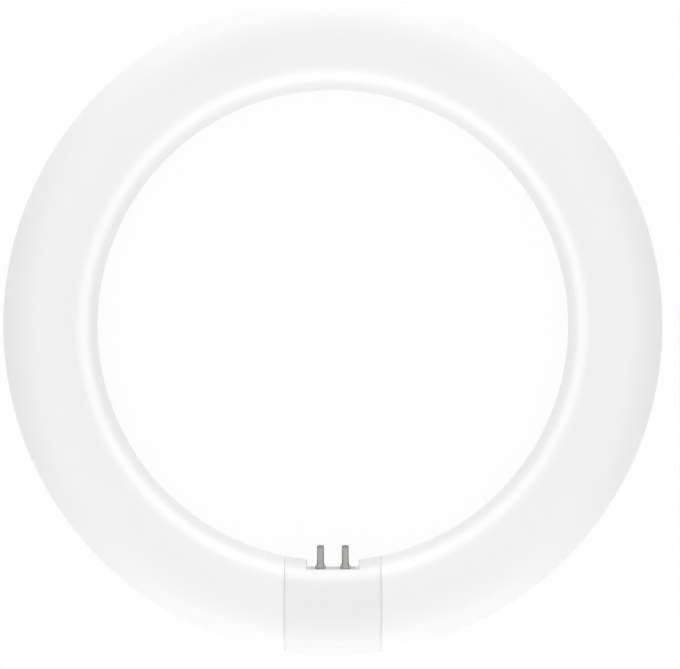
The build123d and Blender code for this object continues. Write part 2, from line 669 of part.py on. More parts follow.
def output_header_pins():
    """Square pins from the driver board up to the underside of the light board."""
    height = BOARD_UNDERSIDE - DRIVER_TOP
    pin = Pos(0, 0, height / 2) * Box(HEADER_PIN_SIDE, HEADER_PIN_SIDE, height)
    place = along_driver(HEADER_PLACE, 0, DRIVER_TOP)
    return Compound(children=[place * Pos(0, y, 0) * pin for y in header_pin_places()])


def supply_lead(start_x, drop, outward):
    """Insulated lead from the input board, through the neck of the tube, to the driver board."""
    radius = RING_RADIUS + outward
    neck_angle = math.degrees(math.asin((COLLAR_LENGTH / 2 - NECK_LENGTH / 2) / radius))
    landing = math.degrees(LEAD_LANDING / RING_RADIUS)
    points = [
        Vector(start_x, INPUT_BOARD_REAR_Y, 0),
        Vector(start_x, INPUT_BOARD_REAR_Y - drop, 0),
        around(neck_angle, radius, LEAD_HEIGHT / 2).position,
        around(DRIVER_FIRST - landing, radius, LEAD_HEIGHT).position,
        around(DRIVER_FIRST + landing, radius, LEAD_HEIGHT).position,
    ]
    route = FilletPolyline(*points, radius=bend_radii(points))
    return sweep(Plane(route @ 0, z_dir=route % 0) * Circle(LEAD_DIAMETER / 2), route)


def bend_radii(points):
    """Largest smooth bend at each inner point of a route."""
    radii = []
    for before, corner, after in zip(points, points[1:], points[2:]):
        turn = math.radians((corner - before).get_angle(after - corner))
        run = min((corner - before).length, (after - corner).length)
        radii.append(LEAD_BEND_SHARE * run / math.tan(turn / 2))
    return radii


def all_parts():
    """Every piece of the lamp by its name."""
    parts = {
        "front_diffuser": front_diffuser(),
        "rear_housing": rear_housing(),
        "base_front_shell": base_shell(FRONT),
        "base_rear_shell": base_shell(REAR),
        "pin_block": pin_block(),
        "input_board": input_board(),
        "fusible_resistors": fusible_resistors(),
        "base_screws": base_screws(),
        "board_screws": board_screws(),
        "driver_screw": driver_screw(),
        "board_links": board_links(),
        "driver_board": driver_board(),
        "bridge_rectifier": bridge_rectifier(),
        "driver_chip": driver_chip(),
        "input_capacitor": input_capacitor(),
        "output_capacitor": output_capacitor(),
        "choke_core": choke_core(),
        "choke_winding": choke_winding(),
        "output_header_body": output_header_body(),
        "output_header_pins": output_header_pins(),
        "supply_lead_near": supply_lead(LEAD_SPACING / 2, LEAD_NEAR_DROP, -LEAD_OFFSET),
        "supply_lead_far": supply_lead(-LEAD_SPACING / 2, LEAD_FAR_DROP, LEAD_OFFSET),
    }
    for name, (x, z) in pin_places().items():
        parts[f"contact_pin_{name}"] = Pos(x, FLOOR_Y, z) * contact_pin()
    for index in range(BOARD_COUNT):
        parts[f"light_board_{index + 1}"] = light_board(index)
        parts[f"leds_{index + 1}"] = led_packages(index)
    return parts


os.makedirs("parts", exist_ok=True)
for node, shape in all_parts().items():
    export_step(shape, f"parts/{node}.step")
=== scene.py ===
"""Looks of a ring-shaped LED lamp with a four-pin base, dressed on its CAD solids."""

import logging
import math
from dataclasses import dataclass
from enum import Enum
from typing import Any, Sequence

import bmesh
import bpy
from mathutils import Matrix, Vector


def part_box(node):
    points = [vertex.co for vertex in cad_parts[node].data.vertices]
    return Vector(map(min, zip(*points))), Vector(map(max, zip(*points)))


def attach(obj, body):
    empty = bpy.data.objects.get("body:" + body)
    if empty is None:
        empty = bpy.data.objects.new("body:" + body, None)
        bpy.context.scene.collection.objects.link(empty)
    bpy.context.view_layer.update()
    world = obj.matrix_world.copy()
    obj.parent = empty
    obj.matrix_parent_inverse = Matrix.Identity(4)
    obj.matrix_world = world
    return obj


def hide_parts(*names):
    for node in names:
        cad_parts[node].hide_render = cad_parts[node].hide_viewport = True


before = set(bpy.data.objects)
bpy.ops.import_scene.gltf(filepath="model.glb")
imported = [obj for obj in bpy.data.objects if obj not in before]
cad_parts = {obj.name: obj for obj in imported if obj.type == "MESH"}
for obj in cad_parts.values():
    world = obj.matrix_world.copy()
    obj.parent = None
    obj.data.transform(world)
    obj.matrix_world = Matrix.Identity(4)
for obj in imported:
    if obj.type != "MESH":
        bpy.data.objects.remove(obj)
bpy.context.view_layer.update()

LOG = logging.getLogger("ring_lamp")
MM = 0.001
ROOT = "root"
OBJECT_SPACE = "Object"
# Metres after which a wave texture of scale 1 repeats.
WAVE_BAND = math.pi / 10
WHITE = (1.0, 1.0, 1.0, 1.0)
# Red, green and blue light go equally deep under the skin.
EVEN_SCATTER = (1.0, 1.0, 1.0)
Mesh = bmesh.types.BMesh
Ring = list[bmesh.types.BMVert]
Place = tuple[float, float, float]
Flat = tuple[float, float]
Tree = bpy.types.NodeTree
Socket = bpy.types.NodeSocket


class Slot(str, Enum):
    """Material slots of the lamp's record that the new pieces take."""

    PIN = "pin_metal"
    SCREW = "screw_steel"
    LED = "led_package"
    COPPER = "copper"
    RESIN = "black_resin"
    SLEEVE = "capacitor_sleeve"
    RESISTOR = "resistor_coat"
    LINK = "link_metal"


class Axis(str, Enum):
    """Direction across which a banded finish changes."""

    X = "X"
    Y = "Y"
    Z = "Z"


def linear(code: str) -> tuple[float, ...]:
    """Turn an sRGB hex colour to linear light.

    Args:
        code: colour as #RRGGBB.

    Returns:
        Linear red, green, blue and an alpha of 1.
    """
    shares = [int(code[at : at + 2], 16) / 255 for at in (1, 3, 5)]
    red, green, blue = [s / 12.92 if s <= 0.04045 else ((s + 0.055) / 1.055) ** 2.4 for s in shares]
    return red, green, blue, 1.0


def add_node(
    tree: Tree, kind: str, settings: dict[str, Any] | None = None, inputs: dict[str | int, Any] | None = None
) -> bpy.types.Node:
    """Add one shader node with its settings, values and links.

    Args:
        tree: tree that gets the node.
        kind: type of the node.
        settings: properties of the node.
        inputs: sockets by name or number, each with a value or the output that feeds it.

    Returns:
        The new node.
    """
    node = tree.nodes.new(kind)
    for name, value in (settings or {}).items():
        setattr(node, name, value)
    for name, value in (inputs or {}).items():
        if isinstance(value, Socket):
            tree.links.new(value, node.inputs[name])
        else:
            node.inputs[name].default_value = value
    return node


def new_tree(name: str) -> tuple[bpy.types.Material, Tree]:
    """Start an empty material.

    Args:
        name: name of the material.

    Returns:
        The material and its node tree.
    """
    material = bpy.data.materials.new(name)
    material.use_nodes = True
    material.node_tree.nodes.clear()
    return material, material.node_tree


@dataclass(frozen=True)
class PaintedJointShade:
    """Painted shade beside the collar's two joints, where the surface faces up: a soft grey line that darkens
    the tone.
    """

    joint_x_mm: float = 15.25
    reach_mm: float = 1.1
    beyond_y_mm: float = -60.0
    low_mm: float = 9.0
    high_mm: float = 12.5
    # Colour of the painted shade.
    tone: str = "#D6D6D6"
    strength: float = 0.29

    def over(self, tree: Tree, place: Socket, tone: Socket) -> Socket:
        """Lay the painted shade over a colour.

        Args:
            tree: tree of the material.
            place: place on the lamp in metres.
            tone: colour of the surface without the painted shade.

        Returns:
            The colour with the painted shade.
        """
        parts = add_node(tree, "ShaderNodeSeparateXYZ", {}, {0: place}).outputs
        aside = add_node(tree, "ShaderNodeMath", {"operation": "ABSOLUTE"}, {0: parts["X"]})
        off = add_node(tree, "ShaderNodeMath", {"operation": "SUBTRACT"}, {
            0: aside.outputs[0], 1: self.joint_x_mm * MM,
        })
        away = add_node(tree, "ShaderNodeMath", {"operation": "ABSOLUTE"}, {0: off.outputs[0]})
        near = add_node(tree, "ShaderNodeMapRange", {"interpolation_type": "SMOOTHSTEP"}, {
            "Value": away.outputs[0], "From Max": self.reach_mm * MM, "To Min": self.strength, "To Max": 0.0,
        })
        raised = add_node(tree, "ShaderNodeMapRange", {"interpolation_type": "SMOOTHSTEP"}, {
            "Value": parts["Z"], "From Min": self.low_mm * MM, "From Max": self.high_mm * MM,
        })
        base_side = add_node(tree, "ShaderNodeMath", {"operation": "LESS_THAN"}, {
            0: parts["Y"], 1: self.beyond_y_mm * MM,
        })
        # Share of painted shade: near a joint, high on the tube and on the base's side.
        shade_share = near.outputs["Result"]
        for share in (raised.outputs["Result"], base_side.outputs[0]):
            shade_share = add_node(tree, "ShaderNodeMath", {"operation": "MULTIPLY"}, {0: shade_share, 1: share}).outputs[0]
        shaded = add_node(tree, "ShaderNodeMix", {"data_type": "RGBA"}, {
            "Factor": shade_share, 6: tone, 7: linear(self.tone),
        })
        return shaded.outputs[2]


@dataclass(frozen=True)
class MouldedFinish:
    """Plastic, resin or rubber that took its surface from a mould.

    The tone drifts a little where the melt flowed, and the mould's spark-eroded skin leaves a fine grain,
    which is drawn coarser than the real one so that it shows.
    """

    name: str
    tone: str
    drift: str
    roughness: float
    ior: float
    grain_mm: float
    grain_depth_mm: float
    drift_mm: float = 35.0
    drift_detail: float = 3.0
    grain_detail: float = 2.0
    grain_fade: float = 0.55
    gloss_spread: float = 0.06
    subsurface: float = 0.0
    subsurface_mm: float = 1.0
    # Painted shade beside the collar's joints, for the finishes that take it.
    joint_shade: PaintedJointShade | None = None

    def material(self) -> bpy.types.Material:
        """Build the material.

        Returns:
            The finished material.
        """
        material, tree = new_tree(self.name)
        place = add_node(tree, "ShaderNodeTexCoord").outputs[OBJECT_SPACE]
        flow = add_node(tree, "ShaderNodeTexNoise", {}, {
            "Vector": place, "Scale": 1 / (self.drift_mm * MM), "Detail": self.drift_detail,
        })
        tone = add_node(tree, "ShaderNodeMix", {"data_type": "RGBA"}, {
            "Factor": flow.outputs["Fac"], 6: linear(self.tone), 7: linear(self.drift),
        }).outputs[2]
        # Painted shade darkens the tone beside the collar's joints.
        if self.joint_shade:
            tone = self.joint_shade.over(tree, place, tone)
        grain = add_node(tree, "ShaderNodeTexNoise", {}, {
            "Vector": place,
            "Scale": 1 / (self.grain_mm * MM),
            "Detail": self.grain_detail,
            "Roughness": self.grain_fade,
        })
        gloss = add_node(tree, "ShaderNodeMapRange", {}, {
            "Value": grain.outputs["Fac"],
            "To Min": self.roughness - self.gloss_spread,
            "To Max": self.roughness + self.gloss_spread,
        })
        bump = add_node(tree, "ShaderNodeBump", {}, {
            "Distance": self.grain_depth_mm * MM, "Height": grain.outputs["Fac"],
        })
        shader = add_node(tree, "ShaderNodeBsdfPrincipled", {}, {
            "Base Color": tone,
            "Roughness": gloss.outputs["Result"],
            "IOR": self.ior,
            "Normal": bump.outputs["Normal"],
            "Subsurface Weight": self.subsurface,
            "Subsurface Radius": EVEN_SCATTER,
            "Subsurface Scale": self.subsurface_mm * MM,
        })
        add_node(tree, "ShaderNodeOutputMaterial", {}, {"Surface": shader.outputs["BSDF"]})
        return material


@dataclass(frozen=True)
class MetalFinish:
    """Bare or plated metal with fine marks left by the tool across one axis."""

    name: str
    tone: str
    stain: str
    roughness: float
    mark_mm: float
    mark_depth_mm: float
    axis: Axis = Axis.Z
    mark_waver: float = 1.5
    stain_mm: float = 1.5
    stain_detail: float = 4.0
    stain_fade: float = 0.6
    gloss_spread: float = 0.08

    def material(self) -> bpy.types.Material:
        """Build the material.

        Returns:
            The finished material.
        """
        material, tree = new_tree(self.name)
        place = add_node(tree, "ShaderNodeTexCoord").outputs[OBJECT_SPACE]
        cloud = add_node(tree, "ShaderNodeTexNoise", {}, {
            "Vector": place,
            "Scale": 1 / (self.stain_mm * MM),
            "Detail": self.stain_detail,
            "Roughness": self.stain_fade,
        })
        tone = add_node(tree, "ShaderNodeMix", {"data_type": "RGBA"}, {
            "Factor": cloud.outputs["Fac"], 6: linear(self.tone), 7: linear(self.stain),
        })
        gloss = add_node(tree, "ShaderNodeMapRange", {}, {
            "Value": cloud.outputs["Fac"],
            "To Min": self.roughness - self.gloss_spread,
            "To Max": self.roughness + self.gloss_spread,
        })
        marks = add_node(tree, "ShaderNodeTexWave", {"bands_direction": self.axis.value}, {
            "Vector": place, "Scale": WAVE_BAND / (self.mark_mm * MM), "Distortion": self.mark_waver,
        })
        bump = add_node(tree, "ShaderNodeBump", {}, {
            "Distance": self.mark_depth_mm * MM, "Height": marks.outputs["Fac"],
        })
        shader = add_node(tree, "ShaderNodeBsdfPrincipled", {}, {
            "Base Color": tone.outputs[2],
            "Metallic": 1.0,
            "Roughness": gloss.outputs["Result"],
            "Normal": bump.outputs["Normal"],
        })
        add_node(tree, "ShaderNodeOutputMaterial", {}, {"Surface": shader.outputs["BSDF"]})
        return material


# Opal polycarbonate, injection moulded: milky, satin, lets a little light in under the skin; painted shade
# darkens it beside the collar's joints.
OPAL_POLYCARBONATE = MouldedFinish(
    "opal_polycarbonate_moulded", "#F1F1F1", "#EFEFEF", 0.36, 1.585, 0.35, 0.004,
    subsurface=0.15, subsurface_mm=0.8, joint_shade=PaintedJointShade(),
)
# White polycarbonate, injection moulded: opaque, a shade greyer and rougher than the opal front.
WHITE_POLYCARBONATE = MouldedFinish(
    "white_polycarbonate_moulded", "#EEEEEE", "#EBEBEB", 0.44, 1.585, 0.4, 0.006,
)
# White PBT, injection moulded: dead white and satin, slightly darker than the tube; painted shade darkens it
# beside the collar's joints.
WHITE_PBT = MouldedFinish(
    "white_pbt_moulded", "#ECECEC", "#EAEAEA", 0.37, 1.55, 0.4, 0.005, joint_shade=PaintedJointShade(),
)
# Glass-filled PBT, injection moulded: matt, with fibres near the skin; its light grey is partly the plastic's
# own tone and partly painted shade of the pocket it sits in.
GLASS_FILLED_PBT = MouldedFinish(
    "glass_filled_pbt_moulded", "#E1E1DF", "#DADAD8", 0.6, 1.55, 0.3, 0.012, drift_mm=6.0,
)
# Nickel plate on turned brass: soft warm grey, with fine rings left by the lathe.
NICKEL_PLATED_BRASS = MetalFinish(
    "nickel_plated_brass_turned", "#B2B2AF", "#A6A6A3", 0.32, 0.18, 0.003, Axis.Y,
)
# The same plate on the pins' cut tips, darker and rougher; the darker tone is painted shade on the tips.
SHADED_TIP_NICKEL_PLATE = MetalFinish(
    "nickel_plated_brass_shaded_tip", "#9A9A97", "#8E8E8B", 0.42, 0.18, 0.003, Axis.Y,
)
# Zinc plate on cold-headed steel: bluish grey, faintly clouded.
ZINC_PLATED_STEEL = MetalFinish("zinc_plated_steel", "#B4B7BA", "#9EA1A3", 0.35, 0.25, 0.002, Axis.Z)
# Tin dipped on copper strip: pale and slightly wavy.
TINNED_COPPER = MetalFinish("tinned_copper", "#C9C9C5", "#B9B9B4", 0.34, 0.6, 0.004, Axis.X)
# Tin solder, flowed and set: bright, soft-edged, a little cloudy.
TIN_SOLDER = MetalFinish("tin_solder_flowed", "#C6C8C8", "#B3B5B5", 0.24, 0.5, 0.004)
# Drawn aluminium, bare at the end of a can: pale and finely lined.
DRAWN_ALUMINIUM = MetalFinish("drawn_aluminium", "#C8CACC", "#BDBFC1", 0.3, 0.2, 0.002, Axis.Z)
# Enamelled copper wire, wound in layers: warm red-brown, ribbed by its turns.
ENAMELLED_COPPER = MetalFinish("enamelled_copper_wound", "#B06A35", "#96521F", 0.3, 0.28, 0.02, Axis.Z)
# White solder mask printed on an aluminium-core board: bright and slightly glossy.
WHITE_SOLDER_MASK = MouldedFinish("white_solder_mask_printed", "#EFEFEA", "#E8E8E2", 0.38, 1.5, 0.5, 0.004)
# Green solder mask over woven glass-epoxy: the weave shows faintly through it.
GREEN_SOLDER_MASK = MouldedFinish(
    "green_solder_mask_on_glass_epoxy", "#1E5B38", "#184C2E", 0.3, 1.52, 0.5, 0.01,
)
# White polyphthalamide, injection moulded: bright white LED housings with a dull skin.
WHITE_POLYPHTHALAMIDE = MouldedFinish(
    "white_polyphthalamide_moulded", "#F0F0EC", "#E9E9E4", 0.5, 1.6, 0.2, 0.004,
)
# Silicone phosphor cast in a white package: egg-yolk yellow, soft gloss.
PHOSPHOR_SILICONE = MouldedFinish("phosphor_silicone_cast", "#E8C64A", "#DDB83C", 0.3, 1.41, 0.3, 0.004)
# Sintered ferrite: charcoal, dull and slightly pitted.
SINTERED_FERRITE = MouldedFinish("sintered_ferrite", "#323234", "#28282A", 0.62, 1.8, 0.25, 0.02)
# Epoxy moulding compound: black with a grey cast.
EPOXY_COMPOUND = MouldedFinish("epoxy_compound_moulded", "#232325", "#2A2A2C", 0.5, 1.55, 0.2, 0.01)
# Shrunk PVC sleeve: dark blue and glossy.
SHRUNK_SLEEVE = MouldedFinish("pvc_sleeve_shrunk", "#20283C", "#1A2133", 0.28, 1.53, 0.8, 0.006)
# Pale ink printed on the sleeve: a dull grey stripe along the negative side.
PRINTED_STRIPE = MouldedFinish("grey_ink_printed", "#B9BCC2", "#AEB1B8", 0.4, 1.5, 0.8, 0.004)
# Flameproof lacquer, dipped: grey-blue, slightly uneven.
DIPPED_LACQUER = MouldedFinish("flameproof_lacquer_dipped", "#8FA3AD", "#82959E", 0.45, 1.5, 0.4, 0.02)
# Baked paint, rolled on in bands: solid brown and black, and a duller gold.
BAND_PAINTS = (
    MouldedFinish("brown_paint_baked", "#5A3418", "#502D13", 0.4, 1.5, 0.4, 0.01),
    MouldedFinish("black_paint_baked", "#1C1C1C", "#222222", 0.4, 1.5, 0.4, 0.01),
    MouldedFinish("gold_paint_baked", "#9C7B34", "#8F7030", 0.35, 1.5, 0.4, 0.01),
)
# Silicone sheath, extruded: off-white and waxy.
SILICONE_SHEATH = MouldedFinish("silicone_sheath_extruded", "#DCDCD8", "#D4D4D0", 0.55, 1.41, 0.5, 0.006)


def dress(node: str, material: bpy.types.Material) -> None:
    """Give a CAD solid its finish.

    Args:
        node: name of the solid.
        material: its finish.
    """
    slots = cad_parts[node].data.materials
    slots.clear()
    slots.append(material)
    LOG.info("%s dressed in %s", node, material.name)


def add_ring(mesh: Mesh, points: Sequence[Place]) -> Ring:
    """Add a ring of points to a mesh.

    Args:
        mesh: mesh that gets the points.
        points: places in millimetres; one point makes a pole.

    Returns:
        The new vertices.
    """
    return [mesh.verts.new(Vector(point) * MM) for point in points]


def skin(mesh: Mesh, rings: Sequence[Ring]) -> list[bmesh.types.BMFace]:
    """Stretch faces from each ring to the next.

    Args:
        mesh: mesh that gets the faces.
        rings: rings of one length, with poles allowed among them.

    Returns:
        The new faces.
    """
    faces = []
    for low, high in zip(rings, rings[1:]):
        for step in range(max(len(low), len(high))):
            corners = [low[step % len(low)], low[(step + 1) % len(low)]]
            corners += [high[(step + 1) % len(high)], high[step % len(high)]]
            faces.append(mesh.faces.new(list(dict.fromkeys(corners))))
    return faces


def round_points(radius: float, height: float, steps: int) -> list[Place]:
    """Points round the Z axis.

    Args:
        radius: distance from the axis in millimetres; 0 gives one point.
        height: height in millimetres.
        steps: number of points in a turn.

    Returns:
        The points.
    """
    angles = [2 * math.pi * step / steps for step in range(steps if radius > 0 else 1)]
    return [(radius * math.cos(a), radius * math.sin(a), height) for a in angles]


def lathe(outline: Sequence[Flat], steps: int) -> Mesh:
    """Turn an outline about the Z axis.

    Args:
        outline: radius and height of each point in millimetres; a ring closes on its first point.
        steps: number of steps in a turn.

    Returns:
        A closed mesh in metres.
    """
    mesh = bmesh.new()
    rings = [add_ring(mesh, round_points(radius, height, steps)) for radius, height in outline]
    hollow = outline[0][0] > 0
    skin(mesh, [*rings, rings[0]] if hollow else rings)
    bmesh.ops.recalc_face_normals(mesh, faces=mesh.faces)
    return mesh


def on_ring(angle: float, radius: float, height: float) -> Matrix:
    """A seat on the ring whose x runs along the ring and whose y points to the ring's centre.

    Args:
        angle: degrees from the base, anticlockwise seen from the light side.
        radius: distance from the ring's axis in millimetres.
        height: height in millimetres.

    Returns:
        The transform of the seat.
    """
    turn = Matrix.Rotation(math.radians(angle), 4, "Z")
    return turn @ Matrix.Translation(Vector((0, -radius, height)) * MM)


def gather(form: Mesh, seats: Sequence[Matrix]) -> Mesh:
    """Repeat one form at several seats.

    Args:
        form: mesh at the origin; it is used up.
        seats: transform of each copy.

    Returns:
        One mesh with all the copies.
    """
    single = bpy.data.meshes.new("single")
    form.to_mesh(single)
    form.free()
    mesh = bmesh.new()
    for seat in seats:
        placed = single.copy()
        placed.transform(seat)
        mesh.from_mesh(placed)
        bpy.data.meshes.remove(placed)
    bpy.data.meshes.remove(single)
    return mesh


def add_wire(
    mesh: Mesh, path: Sequence[Vector], across: Vector, radius: float, number: int, steps: int = 16
) -> None:
    """Add a round wire along a flat path.

    Args:
        mesh: mesh that gets the wire.
        path: points of the path in millimetres.
        across: direction square to the path's plane.
        radius: half the wire's thickness in millimetres.
        number: face number of its finish.
        steps: number of steps round the wire.
    """
    rings = []
    angles = [2 * math.pi * step / steps for step in range(steps)]
    for index, point in enumerate(path):
        along = path[min(index + 1, len(path) - 1)] - path[max(index - 1, 0)]
        aside = along.normalized().cross(across)
        points = [point + radius * (math.cos(a) * aside + math.sin(a) * across) for a in angles]
        rings.append(add_ring(mesh, points))
    faces = skin(mesh, rings) + [mesh.faces.new(rings[0]), mesh.faces.new(rings[-1])]
    for face in faces:
        face.material_index = number


def square_bend(start: Vector, corner: Vector, end: Vector, radius: float, steps: int = 8) -> list[Vector]:
    """A path that turns a square corner in an arc.

    Args:
        start: first point.
        corner: where the two straights would meet.
        end: last point.
        radius: radius of the arc.
        steps: number of steps in the arc.

    Returns:
        The points of the path.
    """
    back, on = (start - corner).normalized() * radius, (end - corner).normalized() * radius
    angles = [math.pi / 2 * step / steps for step in range(steps + 1)]
    bend = [corner + back + on - math.cos(a) * on - math.sin(a) * back for a in angles]
    return [start, *bend, end]


def arc_points(centre: Flat, radius: float, start: float, end: float, steps: int) -> list[Flat]:
    """Points along an arc of an outline.

    Args:
        centre: centre of the arc.
        radius: its radius.
        start: first angle in degrees.
        end: last angle in degrees.
        steps: number of steps.

    Returns:
        The points, both ends among them.
    """
    angles = [math.radians(start + (end - start) * step / steps) for step in range(steps + 1)]
    return [(centre[0] + radius * math.cos(a), centre[1] + radius * math.sin(a)) for a in angles]


def flare_points(top: float, foot: float, low: float, high: float, steps: int) -> list[Flat]:
    """A hollow curve that narrows from a wide foot and ends upright.

    Args:
        top: radius at the top in millimetres.
        foot: radius at the foot in millimetres.
        low: height of the foot in millimetres.
        high: height of the top in millimetres.
        steps: number of steps.

    Returns:
        Radius and height of each point, from the foot up.
    """
    rise, run = high - low, foot - top
    sweep = (rise**2 + run**2) / (2 * run)
    turn = math.degrees(math.asin(rise / sweep))
    return arc_points((top + sweep, high), sweep, 180 + turn, 180, steps)


@dataclass
class Piece:
    """One mesh that stands for CAD solids and moves with the lamp."""

    name: str
    slot: Slot
    replaces: tuple[str, ...]
    sharp_deg: float = 35.0

    def place(self, mesh: Mesh, *materials: bpy.types.Material) -> None:
        """Put the mesh into the scene.

        Args:
            mesh: mesh in the lamp's frame, in metres; it is used up.
            materials: its finishes, in the order of the faces' numbers.
        """
        data = bpy.data.meshes.new(self.name)
        mesh.to_mesh(data)
        mesh.free()
        data.polygons.foreach_set("use_smooth", [True] * len(data.polygons))
        data.set_sharp_from_angle(angle=math.radians(self.sharp_deg))
        for material in materials:
            data.materials.append(material)
        piece = bpy.data.objects.new(self.name, data)
        bpy.context.scene.collection.objects.link(piece)
        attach(piece, ROOT)
        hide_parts(*self.replaces)
        LOG.info("%s built with %d faces", self.name, len(data.polygons))


@dataclass(frozen=True)
class Screw:
    """Pan-head self-tapping screw with a cross recess, its seat at z = 0 and its shank along -z."""

    shank_mm: float
    diameter_mm: float = 2.2
    root_share: float = 0.76
    pitch_mm: float = 0.8
    ridge_slope: float = 1.6
    point_mm: float = 1.0
    point_share: float = 0.5
    neck_mm: float = 0.5
    head_diameter_mm: float = 4.0
    head_height_mm: float = 1.5
    crown_mm: float = 0.4
    crown_steps: int = 5
    recess_length_mm: float = 2.3
    recess_width_mm: float = 0.5
    recess_depth_mm: float = 0.8
    recess_taper: float = 0.75
    steps: int = 32
    rows_per_turn: int = 6

    def thread_ring(self, height: float) -> list[Place]:
        """One ring of the thread.

        Args:
            height: height of the ring in millimetres, 0 or less.

        Returns:
            The points of the ring.
        """
        above = (height + self.shank_mm) / self.point_mm
        taper = min(1.0, self.point_share + (1 - self.point_share) * above)
        crest = min(1.0, max(0.0, -height - self.neck_mm) / self.neck_mm) * (1 - self.root_share)
        points = []
        for step in range(self.steps):
            turn = (height / self.pitch_mm - step / self.steps) % 1
            ridge = max(0.0, 1 - self.ridge_slope * abs(2 * turn - 1))
            radius = self.diameter_mm / 2 * taper * (self.root_share + crest * ridge)
            angle = 2 * math.pi * step / self.steps
            points.append((radius * math.cos(angle), radius * math.sin(angle), height))
        return points

    def cross(self, share: float, height: float) -> list[Place]:
        """Outline of the cross recess.

        Args:
            share: its size as a share of the size at the top of the head.
            height: its height in millimetres.

        Returns:
            The twelve corners.
        """
        wide, far = self.recess_width_mm / 2 * share, self.recess_length_mm / 2 * share
        arm = [(far, -wide), (far, wide), (wide, wide)]
        turns = [(1, 0), (0, 1), (-1, 0), (0, -1)]
        return [(x * c - y * s, x * s + y * c, height) for c, s in turns for x, y in arm]

    def mesh(self) -> Mesh:
        """Form the screw.

        Returns:
            A closed mesh in metres.
        """
        mesh = bmesh.new()
        rows = math.ceil(self.shank_mm / self.pitch_mm * self.rows_per_turn)
        shank = [self.thread_ring(-self.shank_mm * (1 - row / rows)) for row in range(rows + 1)]
        head, top = self.head_diameter_mm / 2, self.head_height_mm
        middle = (head - self.crown_mm, top - self.crown_mm)
        crown = arc_points(middle, self.crown_mm, 0, 90, self.crown_steps)
        turned = [round_points(r, h, self.steps) for r, h in [(head, 0.0), *crown]]
        rings = [add_ring(mesh, points) for points in [[(0, 0, -self.shank_mm)], *shank, *turned]]
        skin(mesh, rings)
        mouth = add_ring(mesh, self.cross(1.0, top))
        pit = add_ring(mesh, self.cross(self.recess_taper, top - self.recess_depth_mm))
        skin(mesh, [mouth, pit])
        mesh.faces.new(pit)
        pairs = [pair for ring in (rings[-1], mouth) for pair in zip(ring, ring[1:] + ring[:1])]
        bmesh.ops.triangle_fill(mesh, use_beauty=True, edges=[mesh.edges.get(pair) for pair in pairs])
        bmesh.ops.recalc_face_normals(mesh, faces=mesh.faces)
        return mesh


@dataclass(frozen=True)
class LeadedPackage:
    """Moulded package lying along x, on bent legs whose feet are at z = 0."""

    length_mm: float
    width_mm: float
    height_mm: float
    legs: int
    pitch_mm: float
    leg_width_mm: float = 0.42
    leg_mm: float = 0.2
    shoulder_mm: float = 0.45
    foot_mm: float = 0.6
    draft_mm: float = 0.12

    def mesh(self) -> Mesh:
        """Form the package.

        Returns:
            A mesh whose legs have face number 1.
        """
        mesh = bmesh.new()
        x, y, leg, draft = self.length_mm / 2, self.width_mm / 2, self.leg_mm, self.draft_mm
        low, middle, top = leg / 2, self.height_mm / 2, self.height_mm
        levels = ((low, draft), (middle, 0.0), (top - leg, draft), (top, draft + leg))
        corners = ((1, 1), (-1, 1), (-1, -1), (1, -1))
        rings = [[(across * (x - d), along * (y - d), z) for across, along in corners] for z, d in levels]
        skin(mesh, [add_ring(mesh, points) for points in [[(0, 0, low)], *rings, [(0, 0, top)]]])
        out, end, root = y + self.shoulder_mm, y + self.shoulder_mm + self.foot_mm, y - draft
        profile = [(root, middle), (out, middle), (out, leg), (end, leg), (end, 0), (out - leg, 0)]
        profile += [(out - leg, middle - leg), (root, middle - leg)]
        half = self.leg_width_mm / 2
        for number in range(self.legs):
            at = (number - (self.legs - 1) / 2) * self.pitch_mm
            for side in (-1, 1):
                cuts = [[(at + shift, side * a, b) for a, b in profile] for shift in (-half, half)]
                ends = [add_ring(mesh, cut) for cut in cuts]
                for face in skin(mesh, ends) + [mesh.faces.new(ring) for ring in ends]:
                    face.material_index = 1
        bmesh.ops.recalc_face_normals(mesh, faces=mesh.faces)
        return mesh


